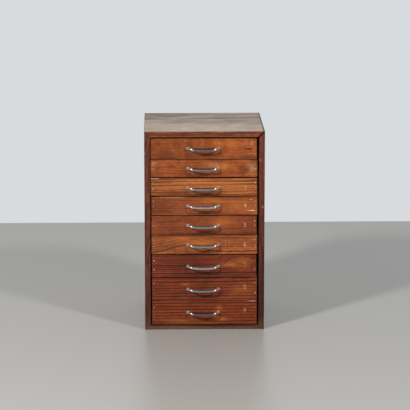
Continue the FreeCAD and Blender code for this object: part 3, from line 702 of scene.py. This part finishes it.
def weathered_top(nodes, board, color):
    """The top face: stain worn away to grey wood, palest along the front."""
    paler_range = (0.10, -0.15)
    corner_across, corner_depth = (0.05, 0.15), (-0.06, -0.13)
    clouded_range = (-0.12, 0.02)
    back_left = (CASE_LOW.x + 25 * MM, CASE_HIGH.y - 15 * MM)
    back_left_size = (60 * MM, 70 * MM)
    left_over_range = (CASE_LOW.y + 16 * MM, CASE_LOW.y + 4 * MM)
    left_over_ragged = 14 * MM
    low_lip_range = (TOP_UNDERSIDE + 3.2 * MM, TOP_UNDERSIDE + 1.4 * MM)
    front_lip_range = (CASE_LOW.y + 2 * MM, CASE_LOW.y + 1 * MM)
    upper_face_range = (CASE_HIGH.z - 1.2 * MM, CASE_HIGH.z - 0.4 * MM)
    x, y, z = board.place
    grain = nodes.join(x, y, z)
    long_streak = nodes.noise(grain, (9.0, 42.0, 42.0), 5.0, 3.0, 0.65)
    thin_streak = nodes.noise(grain, (26.0, 64.0, 64.0), 14.0, 3.0, 0.6)
    thread = nodes.noise(grain, (7.0, 420.0, 420.0), 21.0, 4.0, 0.7)
    cloud = nodes.noise(grain, (10.0, 16.0, 16.0), 8.0, 3.0, 0.6)

    # Grey wood, paler towards the front, but less so at both front corners
    grey = nodes.mix(nodes.step(long_streak, 0.36, 0.64), srgb(94, 74, 66), srgb(160, 136, 118))
    depth = nodes.math("MULTIPLY_ADD", nodes.minus(cloud, 0.5), 0.16, y)
    corner = nodes.step(nodes.math("ABSOLUTE", x), *corner_across, 0.0, 0.10)
    depth = nodes.math("MULTIPLY_ADD", corner, nodes.step(y, *corner_depth), depth)
    depth = nodes.math("MULTIPLY_ADD", nodes.minus(long_streak, 0.5), 0.10, depth)
    grey = nodes.mix(nodes.step(depth, *paler_range), grey, srgb(174, 154, 134))
    grey = nodes.shade(grey, nodes.step(thin_streak, 0.34, 0.66, 0.82, 1.12))
    grey = nodes.shade(grey, nodes.step(board.streak, 0.30, 0.70, 0.84, 1.12))
    grey = nodes.shade(grey, nodes.step(thread, 0.36, 0.62, 0.84, 1.08))

    # Darker clouds towards the back, and a stain at its left corner
    stain = nodes.times(nodes.step(cloud, 0.55, 0.72), nodes.step(y, *clouded_range))
    stain = nodes.math("MAXIMUM", stain, patch(nodes, x, y, *back_left, *back_left_size))
    grey = nodes.mix(nodes.times(stain, 0.55), grey, srgb(84, 60, 50))

    # Some stain is left along the front arris, and the front edge's lower arris is rubbed
    inward = nodes.math("MULTIPLY_ADD", nodes.minus(long_streak, 0.5), left_over_ragged, y)
    left_over = nodes.step(inward, *left_over_range)
    grey = nodes.mix(nodes.times(left_over, 0.6), grey, color)
    lip = nodes.times(nodes.step(z, *low_lip_range), nodes.step(y, *front_lip_range))
    color = nodes.mix(nodes.times(lip, 0.5), color, srgb(152, 88, 62))
    upper_face = nodes.step(z, *upper_face_range)
    return mitre_line(nodes, board, nodes.mix(upper_face, color, grey))


def side_finish(foot, middle, head):
    """The inner face never had any stain. The front edge is darker at some heights.

    foot, middle and head: how bright the front edge is at those heights.
    """
    foot_z, middle_z, head_z = 20 * MM, 300 * MM, 560 * MM
    away_from_edge = 0.84
    edge_range = (FRONT_Y + 2 * MM, FRONT_Y + 20 * MM)
    inner_shade_range = (FRONT_Y + 10 * MM, FRONT_Y + 60 * MM)
    inner_range = (INNER_X + 0.6 * MM, INNER_X + 0.1 * MM)
    muddy_range = (42 * MM, 8 * MM)
    muddy_ragged = 24 * MM

    def change(nodes, board, color):
        x, y, z = board.place
        lower = nodes.step(z, foot_z, middle_z, foot, middle)
        upper = nodes.step(z, middle_z, head_z, 0.0, head - middle)
        plain = nodes.step(y, *edge_range)
        edge_tone = nodes.minus(nodes.plus(lower, upper), away_from_edge)
        shade = nodes.math("MULTIPLY_ADD", edge_tone, nodes.minus(1.0, plain), away_from_edge)
        color = nodes.shade(color, shade)
        ragged = nodes.math("MULTIPLY_ADD", nodes.minus(board.blotch, 0.5), muddy_ragged, z)
        muddy = nodes.times(nodes.step(ragged, *muddy_range), 0.55)
        color = nodes.mix(muddy, color, srgb(84, 64, 48))
        # Painted shade darkens the raw inner face just behind the fronts, where it shows in the
        # gaps
        raw = nodes.mix(board.streak, srgb(122, 86, 60), srgb(158, 118, 84))
        raw = nodes.shade(raw, nodes.step(y, *inner_shade_range, 0.04, 1.0))
        inner = nodes.step(nodes.math("ABSOLUTE", x), *inner_range)
        return mitre_line(nodes, board, nodes.mix(inner, color, raw))
    return change


def scuffed_base(nodes, board, color):
    """The lowest few millimetres are scuffed grey, the upper arris is dark."""
    scuff_range = (7 * MM, 2 * MM)
    scuff_ragged = 9 * MM
    darker_range = (6 * MM, 14 * MM)
    x, y, z = board.place
    ragged = nodes.math("MULTIPLY_ADD", nodes.minus(board.blotch, 0.5), scuff_ragged, z)
    scuff = nodes.times(nodes.step(ragged, *scuff_range), nodes.step(board.streak, 0.35, 0.6))
    color = nodes.mix(nodes.times(scuff, 0.45), color, srgb(122, 94, 74))
    return nodes.shade(color, nodes.step(z, *darker_range, 0.92, 0.55))


CASE = dict(
    bare=srgb(150, 96, 66), dirt=srgb(48, 28, 24), ring=0.0058, contrast=0.75, blotch=0.32,
    figure=0.36)
SIDE = dict(CASE, wander=0.03, blotch=0.15, blotch_scale=(5.0, 26.0, 26.0))
case_looks = {
    "case_top": (TOP_GRAIN, weathered_top, dict(
        CASE, early=srgb(113, 60, 37), late=srgb(76, 38, 24), pith=(0.06, -0.09), wander=0.03,
        seed=3.0, grime=0.10)),
    "case_base": (TOP_GRAIN, scuffed_base, dict(
        CASE, early=srgb(96, 60, 42), late=srgb(60, 36, 28), pith=(-0.05, -0.09), seed=17.0)),
    "case_side_left": (GRAIN_Z, side_finish(0.50, 0.84, 0.86), dict(
        SIDE, early=srgb(104, 54, 40), late=srgb(60, 28, 22), pith=(0.10, 0.02),
        drift=(0.02, 0.05), seed=23.0,
        scratches_and_shade_lines=(
            ((0.231, -0.0075, 0.0020, 0.0010, 0.0020), RUBBED, 0.7),
            ((0.10, 0.002, 0.012, 0.0003, 0.0014), RUBBED, 0.35),
            ((-0.12, -0.003, 0.020, 0.0003, 0.0014), RUBBED, 0.3)))),
    "case_side_right": (GRAIN_Z, side_finish(0.30, 0.53, 0.76), dict(
        SIDE, early=srgb(116, 62, 44), late=srgb(66, 31, 24), pith=(-0.12, -0.02),
        drift=(-0.02, 0.04), seed=31.0,
        scratches_and_shade_lines=(
            ((0.2108, -0.0045, 0.0022, 0.0012, 0.0024), ORANGE, 0.9),
            ((0.0726, 0.0030, 0.0026, 0.0008, 0.0020), HAZE, 0.8),
            ((-0.03, 0.004, 0.015, 0.0003, 0.0014), RUBBED, 0.3)))),
}
for node, (axes, extra, look) in case_looks.items():
    finish_node(node, wood(f"{node}_finish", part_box(node), axes, look, extra))

# Raw boards that only dust and hands have darkened, and the pressed board of the tray floors
PINE = dict(
    early=srgb(200, 158, 108), late=srgb(164, 112, 66), bare=srgb(214, 178, 130),
    dirt=srgb(110, 80, 56), roughness=0.6, grime=0.45, blotch=0.10, contrast=0.7, shine=0.25)
HARDBOARD = dict(
    early=srgb(136, 98, 66), late=srgb(116, 80, 52), bare=srgb(146, 108, 76),
    dirt=srgb(92, 64, 44), roughness=0.55, grime=0.5, grime_reach=14 * MM, blotch=0.12,
    contrast=0.15, shine=0.25)
BACK_BOARD = 11 * MM


def finish_tray(number):
    """Pine boards, the rear one across the others, round a floor of pressed board."""
    node = f"drawer_{number}_box"
    look = dict(PINE, pith=(-0.02, 0.05), drift=(0.02, 0.03), ring=0.004, seed=5.0 * number)
    look["turn"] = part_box(node)[1].y - BACK_BOARD
    finish_node(node, wood(f"{node}_finish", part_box(node), GRAIN_Y, look))
    node = f"drawer_{number}_floor"
    look = dict(HARDBOARD, pith=(0.3, 0.3), ring=0.02, seed=7.0 * number)
    finish_node(node, wood(f"{node}_finish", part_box(node), TOP_GRAIN, look))


for number in DRAWERS:
    finish_tray(number)
for node, seed in (("runners_left", 71.0), ("runners_right", 83.0)):
    look = dict(
        PINE, early=srgb(112, 76, 48), late=srgb(84, 54, 34), pith=(-0.3, 0.05), ring=0.004,
        seed=seed, grime=0.0, rub=0.0)
    finish_node(node, wood(f"{node}_finish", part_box(node), GRAIN_Y, look))
look = dict(
    PINE, early=srgb(178, 138, 94), late=srgb(148, 104, 66), pith=(0.1, 0.12),
    drift=(0.05, 0.10), ring=0.006, seed=91.0, wander=0.03)
finish_node("back_panel", wood("back_panel_finish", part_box("back_panel"), GRAIN_Z, look))


# ------------------------------------------------------------------ metal

HANDLE_LOW, HANDLE_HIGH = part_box("drawer_1_handle")
HANDLE_X = HANDLE_LOW.lerp(HANDLE_HIGH, 0.5).x
# How dull each handle's plating is, and how dark the reflection painted along the middle of its
# bar is
PLATING = {
    1: (0.06, 0.75), 2: (0.06, 0.60), 3: (0.08, 0.45), 4: (0.18, 0.10), 5: (0.16, 0.40),
    6: (0.07, 0.40), 7: (0.18, 0.15), 8: (0.14, 0.45), 9: (0.06, 0.85),
}
# How pale the filler on each front's nail heads is: left upper and lower, right upper and lower
HEADS = {
    1: (0.10, 0.10, 0.35, 0.10), 2: (0.60, 0.25, 0.60, 0.55), 3: (0.20, 0.60, 1.00, 0.35),
    4: (0.40, 0.45, 0.35, 0.35), 5: (0.10, 0.45, 1.00, 0.60), 6: (0.40, 0.45, 0.60, 0.65),
    7: (0.90, 0.80, 0.30, 0.50), 8: (0.45, 0.20, 0.30, 1.00), 9: (0.50, 0.10, 0.25, 0.10),
}
# The case's nails lie behind the fronts' faces, where there is no filler to be pale
PLAIN_HEADS = (0.5, 0.5, 0.5, 0.5)


def chrome(name, dulling, dark_reflection):
    """Plated steel: bright at the knees, a painted dark reflection along the bar, pale residue at
    the feet that also paints their highlight.
    """
    bright, dull, dark_reflection_grey = (0.86, 0.87, 0.88), (0.56, 0.56, 0.55), (0.12, 0.15, 0.18)
    residue_and_highlight, pit = srgb(188, 174, 148), (0.30, 0.26, 0.22)
    leg_range, foot_range = (22 * MM, 6 * MM), (9 * MM, 2 * MM)
    dark_reflection_range = (36 * MM, 28 * MM)
    ragged = 6 * MM
    material, nodes = new_material(name)
    x, y, z = nodes.split()
    place = nodes.join(x, y, z)
    wipe = nodes.noise(place, (60.0, 700.0, 700.0), 2.0, 3.0, 0.6)
    haze = nodes.noise(place, (90.0, 90.0, 90.0), 5.0, 2.0)
    speck = nodes.step(nodes.noise(place, (900.0, 900.0, 900.0), 9.0, 2.0), 0.68, 0.76)

    # How far out from the front a place is, and how far along the bar from its middle
    out = nodes.minus(FRONT_Y, y)
    out = nodes.math("MULTIPLY_ADD", nodes.minus(haze, 0.5), ragged, out)
    leg = nodes.step(out, *leg_range)
    foot = nodes.step(out, *foot_range)
    aside = nodes.math("ABSOLUTE", nodes.minus(x, HANDLE_X))
    aside = nodes.math("MULTIPLY_ADD", haze, ragged, aside)
    dark_reflection_band = nodes.times(nodes.step(aside, *dark_reflection_range), nodes.minus(1.0, leg))

    color = nodes.mix(leg, bright, dull)
    # Painted reflection: the middle of the bar is painted dark grey-blue, as if it mirrored a dark
    # room
    color = nodes.mix(nodes.times(dark_reflection_band, dark_reflection), color, dark_reflection_grey)
    # Pale residue at the feet, partly real and partly a painted highlight standing in for the
    # feet's bright blobs
    color = nodes.mix(nodes.times(foot, 0.7), color, residue_and_highlight)
    color = nodes.mix(nodes.times(speck, 0.7), color, pit)
    rough = nodes.step(haze, 0.3, 0.7, dulling, dulling + 0.08)
    rough = nodes.math("MULTIPLY_ADD", leg, 0.20, rough)
    rough = nodes.math("MULTIPLY_ADD", speck, 0.3, rough)
    rough = nodes.math("MULTIPLY_ADD", wipe, 0.05, rough)
    plated = nodes.math("MULTIPLY_ADD", foot, -0.45, 1.0)
    nodes.surface(color, rough, nodes.bump(wipe, 0.01 * MM), Metallic=plated)
    return material


def nail_metal(name, middle, levels):
    """Dull steel with a little rust. The heads on a front wear filler, some pale, some stained.

    middle: the height between the upper and the lower heads. levels: how pale the left
    upper, left lower, right upper and right lower heads are.
    """
    left_upper, left_lower, right_upper, right_lower = levels
    filler_range = (FRONT_Y + 1.2 * MM, FRONT_Y + 0.9 * MM)
    halfway = 1 * MM
    material, nodes = new_material(name)
    x, y, z = nodes.split()
    spots = nodes.noise(nodes.join(x, y, z), (500.0, 500.0, 500.0), 4.0, 3.0, 0.6)
    rust = nodes.step(spots, 0.52, 0.66)
    color = nodes.mix(rust, (0.62, 0.56, 0.48), (0.34, 0.20, 0.12))
    filler = nodes.step(y, *filler_range)
    upper = nodes.step(z, middle - halfway, middle + halfway)
    left = nodes.step(upper, 0.0, 1.0, left_lower, left_upper)
    right = nodes.step(upper, 0.0, 1.0, right_lower, right_upper)
    on_right = nodes.step(x, -halfway, halfway)
    on_left = nodes.minus(1.0, on_right)
    level = nodes.plus(nodes.times(on_right, right), nodes.times(on_left, left))
    stopping = nodes.mix(level, srgb(120, 66, 38), srgb(230, 200, 166))
    stopping = nodes.shade(stopping, nodes.step(rust, 0.0, 1.0, 1.0, 0.75))
    color = nodes.mix(filler, color, stopping)
    rough = nodes.step(spots, 0.3, 0.7, 0.35, 0.6)
    steel = nodes.step(filler, 0.0, 1.0, 0.8, 0.1)
    nodes.surface(color, rough, nodes.bump(spots, 0.05 * MM), Metallic=steel)
    return material


for number in DRAWERS:
    plating = chrome(f"handle_{number}_finish", *PLATING[number])
    finish_node(f"drawer_{number}_handle", plating)
    node = f"drawer_{number}_fasteners"
    heads = nail_metal(f"{node}_finish", front_middle(number), HEADS[number])
    finish_node(node, heads)
nail_steel = nail_metal("nail_finish", 0.0, PLAIN_HEADS)
for node in ("back_panel_nails", "corner_nails", "runner_nails"):
    finish_node(node, nail_steel)


# ------------------------------------------------------------------ numbers

# Where the numbers' middles are across the front, and their size
DIGIT_X = 118 * MM
DIGIT_HEIGHT = 14 * MM
DIGIT_THICK = 0.12 * MM
# The curve's size that makes its digits one unit high, and how narrow they are drawn
SIZE_PER_HEIGHT = 1.37
DIGIT_SQUEEZE = 0.92
# How many millimetres above the middle of its front each number stands
DIGIT_LIFT = {3: -1.2, 4: 1.0, 5: 0.75, 6: 0.65, 7: 1.8, 8: 5.85, 9: 5.35}
# How bright the leaf of each number is
GILT = {3: 0.85, 4: 1.15, 5: 1.05, 6: 1.10, 7: 0.70, 8: 0.80, 9: 0.80}


def gilt(name, bright):
    """Worn gold leaf, rubbed through in places."""
    material, nodes = new_material(name)
    place = nodes.join(*nodes.split())
    rubbed = nodes.step(nodes.noise(place, (420.0, 420.0, 420.0), 3.0, 3.0, 0.6), 0.50, 0.66)
    scuff = nodes.noise(place, (90.0, 1400.0, 1400.0), 6.0, 2.0)
    color = nodes.mix(nodes.times(rubbed, 0.8), srgb(196, 160, 104), srgb(126, 76, 40))
    color = nodes.shade(color, nodes.step(scuff, 0.3, 0.7, 0.85 * bright, 1.08 * bright))
    rough = nodes.step(scuff, 0.3, 0.7, 0.32, 0.55)
    nodes.surface(color, rough, nodes.bump(scuff, 0.02 * MM), Metallic=0.25)
    return material


def digit_mesh(number):
    """The mesh of one digit, as the curve's own font draws it."""
    curve = bpy.data.curves.new(f"number_{number}_outline", "FONT")
    curve.body = str(number)
    curve.size = DIGIT_HEIGHT * SIZE_PER_HEIGHT
    curve.extrude = DIGIT_THICK / 2
    outline = bpy.data.objects.new("outline", curve)
    bpy.context.collection.objects.link(outline)
    bpy.context.view_layer.update()
    evaluated = outline.evaluated_get(bpy.context.evaluated_depsgraph_get())
    mesh = bpy.data.meshes.new_from_object(evaluated)
    bpy.data.objects.remove(outline)
    mesh.name = f"number_{number}"
    return mesh


def add_number(number):
    """A thin gilt number on a drawer front, set upright about its own middle."""
    height = front_middle(number) + DIGIT_LIFT[number] * MM
    mesh = digit_mesh(number)
    corners = [vertex.co.copy() for vertex in mesh.vertices]
    middle_x, middle_y = (
        (max(corner[axis] for corner in corners) + min(corner[axis] for corner in corners)) / 2
        for axis in (0, 1))
    for vertex, corner in zip(mesh.vertices, corners):
        across = (corner.x - middle_x) * DIGIT_SQUEEZE
        out = corner.z + DIGIT_THICK / 2
        vertex.co = (DIGIT_X + across, FRONT_Y - out, height + corner.y - middle_y)
    mesh.materials.clear()
    mesh.materials.append(gilt(f"gilt_{number}_finish", GILT[number]))
    piece = bpy.data.objects.new(f"number_{number}", mesh)
    bpy.context.collection.objects.link(piece)
    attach(piece, f"drawer_{number}")


for number in DIGIT_LIFT:
    add_number(number)
